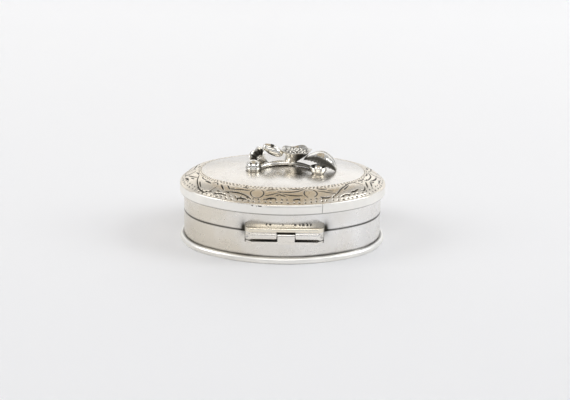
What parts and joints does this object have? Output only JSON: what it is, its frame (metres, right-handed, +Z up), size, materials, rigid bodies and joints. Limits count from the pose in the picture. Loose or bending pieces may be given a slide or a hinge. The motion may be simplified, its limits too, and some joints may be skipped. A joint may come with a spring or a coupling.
{
  "type": "pill box",
  "caption": "Small oval silver box with a hinged domed lid, an engraved lid border and a spray of flowers on the lid.",
  "frame": {"origin": "centre of the oval base on the surface the box stands on", "axes": "+Z up; +X along the oval's length, parallel to the hinge; +Y from the hinge towards the thumb piece"},
  "size_m": [0.04, 0.0317, 0.0188],
  "materials": {
    "silver_satin": "satin-polished sterling silver",
    "silver_engraved": "polished sterling silver, hand engraved, with darkened cuts",
    "silver_hinge": "filed and polished sterling silver with darkened corners",
    "hinge_wire": "drawn silver wire, unpolished",
    "silver_flowers": "bright cast sterling silver",
    "silver_oxidised": "cast sterling silver, darkened in the hollows"
  },
  "bodies": {
    "base": {"base_plate": "silver_satin", "foot_rim": "silver_satin", "base_wall": "silver_satin", "bezel": "silver_satin", "hinge_ledge": "silver_hinge", "middle_knuckle": "silver_hinge"},
    "lid": {"hinge_pin": "hinge_wire", "lid_wall": "silver_satin", "rim_band": "silver_satin", "lid_plate": "silver_engraved", "hinge_bar": "silver_hinge", "left_knuckle": "silver_hinge", "right_knuckle": "silver_hinge", "thumb_piece": "silver_satin", "flower_stem": "silver_flowers", "middle_flower": "silver_flowers", "middle_flower_seeds": "silver_oxidised", "bell_flower": "silver_flowers", "bell_flower_stamens": "silver_oxidised", "left_bud": "silver_flowers", "right_bud": "silver_flowers", "right_bud_bead": "silver_flowers", "petal_bud": "silver_flowers", "right_leaf": "silver_flowers"}
  },
  "joints": [
    {"name": "lid_hinge", "type": "hinge", "parent": "base", "child": "lid", "pos_m": [0, -0.0154, 0.0058], "axis": [1, 0, 0], "range_deg": [0, 95]}
  ]
}
